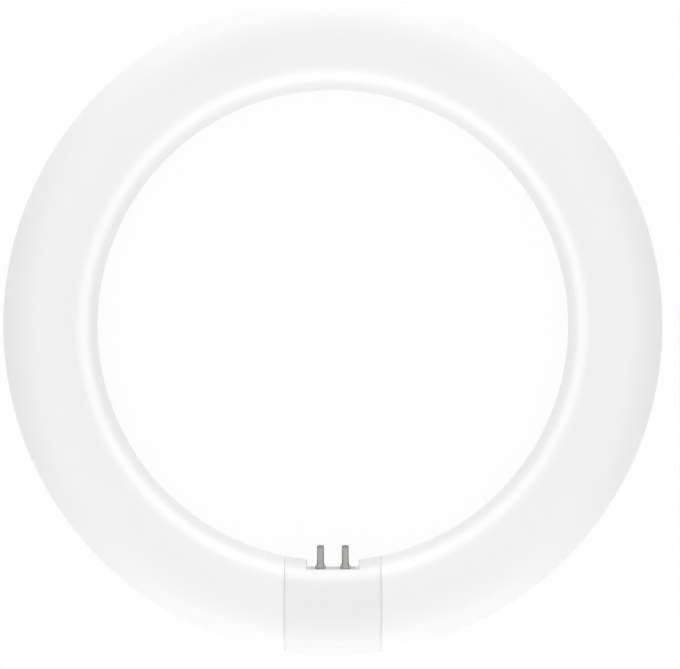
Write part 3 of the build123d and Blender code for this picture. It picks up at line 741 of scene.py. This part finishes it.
@dataclass(frozen=True)
class Capacitor:
    """Can capacitor lying along x on z = 0, with its legs bent down at its far end."""

    length_mm: float
    diameter_mm: float = 6.3
    edge_mm: float = 0.6
    edge_steps: int = 6
    crimp_place_mm: float = 1.6
    crimp_mm: float = 0.3
    crimp_steps: int = 8
    bare_share: float = 0.75
    stripe_steps: int = 8
    leg_spacing_mm: float = 2.5
    leg_diameter_mm: float = 0.5
    leg_reach_mm: float = 1.4
    seat_mm: float = 0.05
    steps: int = 48

    def mesh(self) -> Mesh:
        """Form the capacitor.

        Returns:
            A mesh with face number 1 on its bare end, 2 on its stripe and 3 on its legs.
        """
        radius, edge, long = self.diameter_mm / 2, self.edge_mm, self.length_mm
        crimp = long - self.crimp_place_mm
        bare, stripe = radius * self.bare_share, 180 - 360 * self.stripe_steps / self.steps
        outline = [(0.0, 0.0), (bare, 0.0)]
        outline += arc_points((radius - edge, edge), edge, -90, 0, self.edge_steps)
        outline += arc_points((radius, crimp), self.crimp_mm, 270, 90, self.crimp_steps)
        outline += arc_points((radius - edge, long - edge), edge, 0, 90, self.edge_steps)
        mesh = lathe([*outline, (0.0, long)], self.steps)
        for face in mesh.faces:
            middle = face.calc_center_median() / MM
            turn = math.degrees(math.atan2(middle.y, middle.x))
            if middle.z < edge and math.hypot(middle.x, middle.y) < bare:
                face.material_index = 1
            elif edge < middle.z < crimp - self.crimp_mm and turn > stripe:
                face.material_index = 2
        height = radius + self.seat_mm
        seat = Matrix.Translation(Vector((-long / 2, 0, height)) * MM)
        mesh.transform(seat @ Matrix.Rotation(math.pi / 2, 4, "Y"))
        turn = long / 2 + self.leg_reach_mm
        for y in (-self.leg_spacing_mm / 2, self.leg_spacing_mm / 2):
            corners = [Vector((long / 2 - edge, y, height)), Vector((turn, y, height)), Vector((turn, y, 0))]
            leg = square_bend(*corners, self.leg_reach_mm / 2)
            add_wire(mesh, leg, Vector((0, 1, 0)), self.leg_diameter_mm / 2, 3)
        bmesh.ops.recalc_face_normals(mesh, faces=mesh.faces)
        return mesh


@dataclass(frozen=True)
class Resistor:
    """Axial resistor lying along x with swollen ends, its legs bent towards +y."""

    length_mm: float = 4.0
    diameter_mm: float = 2.1
    waist_mm: float = 0.15
    cap_mm: float = 0.9
    blend_mm: float = 0.3
    band_mm: float = 0.3
    band_places_mm: tuple[float, ...] = (-0.75, -0.2, 0.75)
    leg_diameter_mm: float = 0.6
    leg_reach_mm: float = 0.7
    leg_drop_mm: float = 1.1
    rows: int = 40
    steps: int = 40

    def radius(self, place: float) -> float:
        """Radius of the body.

        Args:
            place: distance from its middle in millimetres.

        Returns:
            The radius in millimetres.
        """
        end = self.length_mm / 2
        swell = min(1.0, max(0.0, (abs(place) - end + self.cap_mm + self.blend_mm) / self.blend_mm))
        tuck = max(0.0, (abs(place) - end + self.blend_mm) / self.blend_mm)
        full = self.diameter_mm / 2 - self.waist_mm * (1 - swell * swell * (3 - 2 * swell))
        return full - self.blend_mm * (1 - math.sqrt(1 - min(1.0, tuck) ** 2))

    def mesh(self) -> Mesh:
        """Form the resistor.

        Returns:
            A mesh with face numbers from 1 on its bands and the last number on its legs.
        """
        half = self.length_mm / 2
        places = [-half + self.length_mm * row / self.rows for row in range(self.rows + 1)]
        outline = [(self.radius(place), place) for place in places]
        mesh = lathe([(0.0, -half), *outline, (0.0, half)], self.steps)
        for face in mesh.faces:
            height = face.calc_center_median().z / MM
            for number, place in enumerate(self.band_places_mm, 1):
                if abs(height - place) < self.band_mm / 2:
                    face.material_index = number
        mesh.transform(Matrix.Rotation(math.pi / 2, 4, "Y"))
        for side in (-1, 1):
            turn = side * (half + self.leg_reach_mm)
            corners = [Vector((side * (half - self.waist_mm), 0, 0)), Vector((turn, 0, 0))]
            leg = square_bend(*corners, Vector((turn, self.leg_drop_mm, 0)), self.leg_reach_mm / 2)
            add_wire(mesh, leg, Vector((0, 0, 1)), self.leg_diameter_mm / 2, len(self.band_places_mm) + 1)
        bmesh.ops.recalc_face_normals(mesh, faces=mesh.faces)
        return mesh


@dataclass
class Tube:
    """The two half shells of the ring."""

    front: str = "front_diffuser"
    rear: str = "rear_housing"

    def dress(self) -> None:
        """Finish both shells."""
        dress(self.front, OPAL_POLYCARBONATE.material())
        dress(self.rear, WHITE_POLYCARBONATE.material())


@dataclass
class BaseCollar:
    """The collar that joins the tube's ends, with its pin block and screws."""

    screw_x_mm: float = 6.2
    screw_y_mm: float = -97.6
    screw_seat_mm: float = -8.5
    screw_shank_mm: float = 14.5

    def dress(self) -> None:
        """Finish the collar's shells and the pin block."""
        plastic = WHITE_PBT.material()
        for node in ("base_front_shell", "base_rear_shell"):
            dress(node, plastic)
        # The pin block's grey is partly painted shade of the pocket.
        dress("pin_block", GLASS_FILLED_PBT.material())

    def build(self) -> None:
        """Form the two screws that clamp the collar from behind."""
        turn = Matrix.Rotation(math.pi, 4, "X")
        places = [(x, self.screw_y_mm, self.screw_seat_mm) for x in (-self.screw_x_mm, self.screw_x_mm)]
        seats = [Matrix.Translation(Vector(place) * MM) @ turn for place in places]
        mesh = gather(Screw(self.screw_shank_mm).mesh(), seats)
        Piece("collar_screws", Slot.SCREW, ("base_screws",)).place(mesh, ZINC_PLATED_STEEL.material())


@dataclass
class ContactPins:
    """Four turned pins on the floor of the collar's pocket."""

    spacing_x_mm: float = 7.92
    spacing_z_mm: float = 6.35
    floor_mm: float = -77.3
    diameter_mm: float = 2.29
    length_mm: float = 7.1
    tip_radius_mm: float = 0.5
    tip_steps: int = 8
    foot_diameter_mm: float = 3.4
    foot_rim_mm: float = 0.45
    foot_height_mm: float = 1.7
    foot_edge_mm: float = 0.12
    foot_edge_steps: int = 4
    flare_steps: int = 10
    shank_diameter_mm: float = 2.0
    block_low_mm: float = -4.2
    rivet_diameter_mm: float = 3.2
    rivet_height_mm: float = 0.6
    tail_diameter_mm: float = 1.4
    tail_low_mm: float = -7.0
    steps: int = 64

    def outline(self) -> list[Flat]:
        """Outline of a pin, from the end of its tail to its tip.

        Returns:
            Radius and height of each point in millimetres.
        """
        shaft, foot = self.diameter_mm / 2, self.foot_diameter_mm / 2
        flare = flare_points(shaft, foot, self.foot_rim_mm, self.foot_height_mm, self.flare_steps)
        edge_middle = (foot - self.foot_edge_mm, self.foot_edge_mm)
        edge = arc_points(edge_middle, self.foot_edge_mm, -90, 0, self.foot_edge_steps)
        tip_middle = (shaft - self.tip_radius_mm, self.length_mm - self.tip_radius_mm)
        tip = arc_points(tip_middle, self.tip_radius_mm, 0, 90, self.tip_steps)
        rivet_low = self.block_low_mm - self.rivet_height_mm
        tail, rivet, shank = self.tail_diameter_mm / 2, self.rivet_diameter_mm / 2, self.shank_diameter_mm / 2
        below = [(0, self.tail_low_mm), (tail, self.tail_low_mm), (tail, rivet_low), (rivet, rivet_low)]
        below += [(rivet, self.block_low_mm), (shank, self.block_low_mm), (shank, 0)]
        return [*below, *edge, *flare, *tip, (0, self.length_mm)]

    def build(self) -> None:
        """Turn the pins and finish them."""
        plate, tip_shade = NICKEL_PLATED_BRASS.material(), SHADED_TIP_NICKEL_PLATE.material()
        tip_low = (self.length_mm - self.tip_radius_mm) * MM
        for row, z in (("front", self.spacing_z_mm / 2), ("rear", -self.spacing_z_mm / 2)):
            for column, x in (("left", -self.spacing_x_mm / 2), ("right", self.spacing_x_mm / 2)):
                mesh = lathe(self.outline(), self.steps)
                for face in mesh.faces:
                    # The tips take the plate with painted shade.
                    face.material_index = int(face.calc_center_median().z > tip_low)
                seat = Matrix.Translation(Vector((x, self.floor_mm, z)) * MM)
                mesh.transform(seat @ Matrix.Rotation(math.radians(-90), 4, "X"))
                name = f"{row}_{column}"
                Piece(f"turned_pin_{name}", Slot.PIN, (f"contact_pin_{name}",)).place(mesh, plate, tip_shade)


@dataclass
class LightEngine:
    """The light boards inside the tube, with their LEDs, links and screws."""

    ring_mm: float = 90.0
    board_count: int = 4
    board_width_mm: float = 18.0
    board_thickness_mm: float = 1.2
    first_end_mm: float = 19.75
    split_mm: float = 3.0
    screw_inset_mm: float = 9.0
    screw_bite_mm: float = 5.0
    row_count: int = 12
    row_offset_mm: float = 5.5
    row_starts: Flat = (0.25, 0.75)
    led_mm: Place = (3.5, 2.8, 0.7)
    led_corner_mm: float = 0.6
    led_rim_mm: float = 0.45
    led_window_mm: float = 0.12
    led_crown_mm: float = 0.05

    def starts(self) -> tuple[list[float], float]:
        """Angles at which the boards start, and the arc of each.

        Returns:
            The angles and the arc in degrees.
        """
        first = math.degrees(math.asin(self.first_end_mm / (self.ring_mm - self.board_width_mm / 2)))
        gap = math.degrees(self.split_mm / self.ring_mm)
        arc = (360 - 2 * first - (self.board_count - 1) * gap) / self.board_count
        return [first + index * (arc + gap) for index in range(self.board_count)], arc

    def led(self) -> Mesh:
        """One LED: a white tray with a cut corner, filled with phosphor.

        Returns:
            A closed mesh whose phosphor has face number 1.
        """
        long, wide, high = self.led_mm
        x, y, cut, rim = long / 2, wide / 2, self.led_corner_mm, self.led_rim_mm
        corners = [(cut - x, -y), (x, -y), (x, y), (-x, y), (-x, cut - y)]
        inside = [(cx * (1 - rim / x), cy * (1 - rim / y)) for cx, cy in corners]
        floor = high - self.led_window_mm
        mesh = bmesh.new()
        levels = [(corners, 0.0), (corners, high), (inside, high), (inside, floor)]
        rings = [add_ring(mesh, [(cx, cy, level) for cx, cy in outline]) for outline, level in levels]
        bottom = add_ring(mesh, [(0, 0, 0)])
        middle = add_ring(mesh, [(0, 0, floor + self.led_crown_mm)])
        skin(mesh, [bottom, *rings])
        for face in skin(mesh, [rings[-1], middle]):
            face.material_index = 1
        bmesh.ops.recalc_face_normals(mesh, faces=mesh.faces)
        return mesh

    def dress(self) -> None:
        """Finish the boards and their links."""
        mask = WHITE_SOLDER_MASK.material()
        for number in range(1, self.board_count + 1):
            dress(f"light_board_{number}", mask)
        dress("board_links", TINNED_COPPER.material())

    def build(self) -> None:
        """Form the LEDs and the boards' screws."""
        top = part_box("light_board_1")[1].z / MM
        starts, arc = self.starts()
        step = arc / self.row_count
        radii = (self.ring_mm - self.row_offset_mm, self.ring_mm + self.row_offset_mm)
        places = []
        for share, radius in zip(self.row_starts, radii):
            places += [(step * (share + number), radius) for number in range(self.row_count)]
        tray, phosphor = WHITE_POLYPHTHALAMIDE.material(), PHOSPHOR_SILICONE.material()
        for number, start in enumerate(starts, 1):
            mesh = gather(self.led(), [on_ring(start + turn, radius, top) for turn, radius in places])
            Piece(f"led_rows_{number}", Slot.LED, (f"leds_{number}",)).place(mesh, tray, phosphor)
        inset = math.degrees(self.screw_inset_mm / self.ring_mm)
        angles = [start + turn for start in starts for turn in (inset, arc - inset)]
        screw = Screw(self.board_thickness_mm + self.screw_bite_mm)
        mesh = gather(screw.mesh(), [on_ring(angle, self.ring_mm, top) for angle in angles])
        Piece("light_board_screws", Slot.SCREW, ("board_screws",)).place(mesh, ZINC_PLATED_STEEL.material())


@dataclass
class Driver:
    """The input board, the driver board and the parts on them."""

    engine: LightEngine
    end_gap_mm: float = 13.0
    length_mm: float = 64.0
    rectifier_place: Flat = (0.156, 0.0)
    chip_place: Flat = (0.328, -4.2)
    input_can_place: Flat = (0.336, 4.2)
    output_can_place: Flat = (0.758, 0.0)
    input_can_mm: float = 11.0
    output_can_mm: float = 9.0
    screw_shank_mm: float = 3.2
    resistor_y_mm: float = -84.2
    tail_x_mm: float = 3.96
    tail_z_mm: float = 3.175
    tail_diameter_mm: float = 1.4
    input_board_rear_mm: float = -83.1
    fillet_diameter_mm: float = 2.5
    fillet_height_mm: float = 0.9
    lead_offset_mm: float = 4.0
    lead_landing_mm: float = 3.4
    dome_mm: Flat = (1.2, 1.0)
    solder_steps: int = 32
    solder_arc_steps: int = 8
    wire_mm: float = 0.3
    winding_bore_share: float = 0.5
    winding_steps: int = 48
    turn_points: int = 6
    round_reach_deg: float = 80.0

    def seat(self, place: Flat) -> Matrix:
        """A seat on the driver board, which starts a gap beyond the end of the first light board.

        Args:
            place: share of the board's length, and distance in millimetres from its middle line towards the
                ring's centre.

        Returns:
            The transform of the seat.
        """
        ring, (share, inward) = self.engine.ring_mm, place
        angle = self.engine.starts()[0][0] + math.degrees((self.end_gap_mm + share * self.length_mm) / ring)
        return on_ring(angle, ring - inward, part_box("driver_board")[1].z / MM)

    def dress(self) -> None:
        """Finish the boards and the parts that stay as they are."""
        mask, sheath = GREEN_SOLDER_MASK.material(), SILICONE_SHEATH.material()
        finishes = {
            "driver_board": mask,
            "input_board": mask,
            "output_header_body": EPOXY_COMPOUND.material(),
            "supply_lead_near": sheath,
            "supply_lead_far": sheath,
            "choke_core": SINTERED_FERRITE.material(),
            "output_header_pins": TINNED_COPPER.material(),
        }
        for node, material in finishes.items():
            dress(node, material)

    def build_packages(self) -> None:
        """Form the rectifier, the chip and the capacitors."""
        resin, tin = EPOXY_COMPOUND.material(), TINNED_COPPER.material()
        rectifier = LeadedPackage(length_mm=4.7, width_mm=3.9, height_mm=2.5, legs=2, pitch_mm=2.54).mesh()
        rectifier.transform(self.seat(self.rectifier_place))
        Piece("rectifier_package", Slot.RESIN, ("bridge_rectifier",)).place(rectifier, resin, tin)
        chip = LeadedPackage(length_mm=4.9, width_mm=3.9, height_mm=1.5, legs=4, pitch_mm=1.27).mesh()
        chip.transform(self.seat(self.chip_place))
        Piece("chip_package", Slot.RESIN, ("driver_chip",)).place(chip, resin, tin)
        coats = [finish.material() for finish in (SHRUNK_SLEEVE, DRAWN_ALUMINIUM, PRINTED_STRIPE)]
        cans = (
            ("input", self.input_can_mm, self.input_can_place),
            ("output", self.output_can_mm, self.output_can_place),
        )
        for name, length, place in cans:
            can = Capacitor(length).mesh()
            can.transform(self.seat(place))
            Piece(f"{name}_capacitor_can", Slot.SLEEVE, (f"{name}_capacitor",)).place(can, *coats, tin)

    def build_resistors(self) -> None:
        """Form the two resistors behind the input board."""
        places = [Vector((0, self.resistor_y_mm, side * self.tail_z_mm)) * MM for side in (-1, 1)]
        pair = gather(Resistor().mesh(), [Matrix.Translation(place) for place in places])
        coats = [finish.material() for finish in (DIPPED_LACQUER, *BAND_PAINTS, TINNED_COPPER)]
        Piece("banded_resistors", Slot.RESISTOR, ("fusible_resistors",)).place(pair, *coats)

    def build_solder(self) -> None:
        """Run solder round the pins' tails and over the ends of the supply leads."""
        solder, high = TIN_SOLDER.material(), self.fillet_height_mm
        tail, foot, steps = self.tail_diameter_mm / 2, self.fillet_diameter_mm / 2, self.solder_arc_steps
        cone = flare_points(tail, foot, 0.0, high, steps)
        back = Matrix.Rotation(math.pi / 2, 4, "X")
        tails = []
        for x in (-self.tail_x_mm, self.tail_x_mm):
            for z in (-self.tail_z_mm, self.tail_z_mm):
                place = Vector((x, self.input_board_rear_mm, z)) * MM
                tails.append(Matrix.Translation(place) @ back)
        fillets = gather(lathe([(0.0, 0.0), *cone, (0.0, high)], self.solder_steps), tails)
        Piece("tail_solder", Slot.LINK, ()).place(fillets, solder)
        radius, rise = self.dome_mm
        quarter = arc_points((0, 0), 1.0, 0, self.round_reach_deg, steps)
        dome = [(radius * across, rise * up) for across, up in quarter]
        share = self.lead_landing_mm / self.length_mm
        ends = [self.seat((share, inward)) for inward in (-self.lead_offset_mm, self.lead_offset_mm)]
        domes = gather(lathe([(0.0, 0.0), *dome, (0.0, rise)], self.solder_steps), ends)
        Piece("lead_solder", Slot.LINK, ()).place(domes, solder)

    def build_choke(self) -> None:
        """Wind the choke."""
        low, high = (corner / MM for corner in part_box("choke_winding"))
        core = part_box("choke_core")
        outer, height = (high.x - low.x) / 2, high.z - low.z
        inner = outer * self.winding_bore_share
        turns = round(height / self.wire_mm)
        bulge = height / turns / 2
        outline = [(inner, -height / 2)]
        for turn in range(turns):
            middle, reach = -height / 2 + bulge * (2 * turn + 1), self.round_reach_deg
            outline += arc_points((outer - bulge, middle), bulge, -reach, reach, self.turn_points)
        outline.append((inner, height / 2))
        mesh = lathe(outline, self.winding_steps)
        mesh.transform(Matrix.Translation((core[0] + core[1]) / 2))
        Piece("choke_turns", Slot.COPPER, ("choke_winding",)).place(mesh, ENAMELLED_COPPER.material())

    def build(self) -> None:
        """Form the driver's parts and the board's screw."""
        self.build_packages()
        self.build_resistors()
        self.build_solder()
        self.build_choke()
        board_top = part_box("driver_board")[1].z
        low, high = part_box("driver_screw")
        mesh = Screw(self.screw_shank_mm).mesh()
        mesh.transform(Matrix.Translation(((low.x + high.x) / 2, (low.y + high.y) / 2, board_top)))
        Piece("driver_board_screw", Slot.SCREW, ("driver_screw",)).place(mesh, ZINC_PLATED_STEEL.material())


@dataclass
class Studio:
    """Floor, light and camera."""

    floor_size_mm: float = 6000.0
    floor_height_mm: float = -15.0
    floor_colour: str = "#FAFAFA"
    shadow_share: float = 0.07
    sky_level: float = 0.93
    sky_end_gain: float = 0.5
    sky_side_loss: float = 0.2
    strip_mm: Flat = (500.0, 40.0)
    strip_place_mm: Flat = (320.0, 18.0)
    strip_level: float = 1.4
    flag_place_mm: float = 190.0
    flag_half_width_mm: float = 130.0
    flag_top_mm: float = 10.0
    flag_colour: str = "#101010"
    glow_radius_mm: float = 31.0
    glow_height_mm: float = 2.5
    glow_level: float = 2.85
    camera_mm: Place = (2.27, -2.9, 1050.0)
    view_width_mm: float = 216.7
    sensor_mm: float = 36.0
    clip_reach: float = 10.0

    def seen_share(self, tree: Tree) -> Socket:
        """Tell rays that see the background from rays that light the object.

        Args:
            tree: tree of the floor or the sky.

        Returns:
            1 for camera, glossy and transmission rays, else 0.
        """
        rays = add_node(tree, "ShaderNodeLightPath").outputs
        seen = rays["Is Camera Ray"]
        for other in ("Is Glossy Ray", "Is Transmission Ray"):
            larger = add_node(tree, "ShaderNodeMath", {"operation": "MAXIMUM"}, {0: seen, 1: rays[other]})
            seen = larger.outputs[0]
        return seen

    def build_floor(self) -> None:
        """Lay a plain pale floor that keeps the lamp's shadow."""
        material, tree = new_tree("painted_floor_matt")
        paint = add_node(tree, "ShaderNodeBsdfDiffuse", {}, {"Color": linear(self.floor_colour)})
        white = add_node(tree, "ShaderNodeEmission", {}, {"Color": WHITE, "Strength": 1.0})
        share = add_node(tree, "ShaderNodeMath", {"operation": "MULTIPLY"}, {
            0: self.seen_share(tree), 1: 1 - self.shadow_share,
        })
        both = add_node(tree, "ShaderNodeMixShader", {}, {
            0: share.outputs[0], 1: paint.outputs[0], 2: white.outputs[0],
        })
        add_node(tree, "ShaderNodeOutputMaterial", {}, {"Surface": both.outputs[0]})
        half, height = self.floor_size_mm / 2 * MM, self.floor_height_mm * MM
        data = bpy.data.meshes.new("floor")
        corners = [(x, y, height) for x, y in ((-half, -half), (half, -half), (half, half), (-half, half))]
        data.from_pydata(corners, [], [(0, 1, 2, 3)])
        data.materials.append(material)
        floor = bpy.data.objects.new("floor", data)
        bpy.context.scene.collection.objects.link(floor)

    def build_sky(self) -> None:
        """Surround the lamp with soft light, stronger from both ends than from the sides."""
        world = bpy.data.worlds.new("studio_sky")
        world.use_nodes = True
        bpy.context.scene.world = world
        tree = world.node_tree
        tree.nodes.clear()
        way = add_node(tree, "ShaderNodeTexCoord").outputs["Generated"]
        parts = add_node(tree, "ShaderNodeSeparateXYZ", {}, {0: way}).outputs
        level: Any = self.sky_level
        for part, gain in ((parts["Y"], self.sky_end_gain), (parts["X"], -self.sky_side_loss)):
            square = add_node(tree, "ShaderNodeMath", {"operation": "MULTIPLY"}, {0: part, 1: part})
            level = add_node(tree, "ShaderNodeMath", {"operation": "MULTIPLY_ADD"}, {
                0: square.outputs[0], 1: gain, 2: level,
            }).outputs[0]
        light = add_node(tree, "ShaderNodeBackground", {}, {"Color": WHITE, "Strength": level})
        white = add_node(tree, "ShaderNodeBackground", {}, {"Color": WHITE, "Strength": 1.0})
        both = add_node(tree, "ShaderNodeMixShader", {}, {
            0: self.seen_share(tree), 1: light.outputs[0], 2: white.outputs[0],
        })
        add_node(tree, "ShaderNodeOutputWorld", {}, {"Surface": both.outputs[0]})

    def build_strips(self) -> None:
        """Stand a low soft strip beyond each end of the view, for the bright outer rims there."""
        wide, high = (size * MM for size in self.strip_mm)
        far, height = self.strip_place_mm
        for name, side in (("far_strip", 1), ("near_strip", -1)):
            light = bpy.data.lights.new(name, "AREA")
            light.shape = "RECTANGLE"
            light.size, light.size_y = wide, high
            light.energy = self.strip_level * math.pi * wide * high
            strip = bpy.data.objects.new(name, light)
            strip.location = Vector((0, side * far, height)) * MM
            strip.rotation_euler = (-side * math.pi / 2, 0, 0)
            strip.visible_camera = False
            bpy.context.scene.collection.objects.link(strip)

    def build_flags(self) -> None:
        """Stand a low black card at each side, for the grey outer rims there."""
        material, tree = new_tree("black_card_matt")
        card = add_node(tree, "ShaderNodeBsdfDiffuse", {}, {"Color": linear(self.flag_colour)})
        add_node(tree, "ShaderNodeOutputMaterial", {}, {"Surface": card.outputs[0]})
        half = self.flag_half_width_mm
        for name, side in (("right_flag", 1), ("left_flag", -1)):
            low, high, x = self.floor_height_mm, self.flag_top_mm, side * self.flag_place_mm
            corners = [(x, -half, low), (x, half, low), (x, half, high), (x, -half, high)]
            data = bpy.data.meshes.new(name)
            data.from_pydata([Vector(corner) * MM for corner in corners], [], [(0, 1, 2, 3)])
            data.materials.append(material)
            flag = bpy.data.objects.new(name, data)
            flag.visible_camera = flag.visible_glossy = flag.visible_transmission = False
            bpy.context.scene.collection.objects.link(flag)

    def build_glow(self) -> None:
        """Hang a small lamp in the middle of the ring, for the sheen along the tube's inner side."""
        light = bpy.data.lights.new("centre_glow", "POINT")
        light.shadow_soft_size = self.glow_radius_mm * MM
        light.energy = self.glow_level * 4 * (math.pi * light.shadow_soft_size) ** 2
        glow = bpy.data.objects.new("centre_glow", light)
        glow.location = (0, 0, self.glow_height_mm * MM)
        glow.visible_camera = False
        glow.visible_diffuse = False
        glow.light_linking.receiver_collection = bpy.data.collections.new("sheen_takers")
        for node in ("front_diffuser", "rear_housing", "base_front_shell", "base_rear_shell"):
            glow.light_linking.receiver_collection.objects.link(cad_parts[node])
        bpy.context.scene.collection.objects.link(glow)

    def build_camera(self) -> None:
        """Look straight down on the light side, with the base at the bottom."""
        data = bpy.data.cameras.new("camera")
        data.sensor_fit = "HORIZONTAL"
        data.sensor_width = self.sensor_mm
        data.lens = self.sensor_mm * self.camera_mm[2] / self.view_width_mm
        data.clip_end = self.clip_reach * self.camera_mm[2] * MM
        camera = bpy.data.objects.new("camera", data)
        camera.location = Vector(self.camera_mm) * MM
        bpy.context.scene.collection.objects.link(camera)
        bpy.context.scene.camera = camera

    def build(self) -> None:
        """Set up the whole studio."""
        bpy.context.scene.view_settings.view_transform = "Standard"
        self.build_floor()
        self.build_sky()
        self.build_strips()
        self.build_flags()
        self.build_glow()
        self.build_camera()


def main() -> None:
    """Build and dress the lamp, then the studio."""
    logging.basicConfig(level=logging.INFO, format="%(name)s: %(message)s")
    Tube().dress()
    engine = LightEngine()
    for part in (BaseCollar(), engine, Driver(engine)):
        part.dress()
        part.build()
    ContactPins().build()
    Studio().build()


if __name__ == "__main__":
    main()
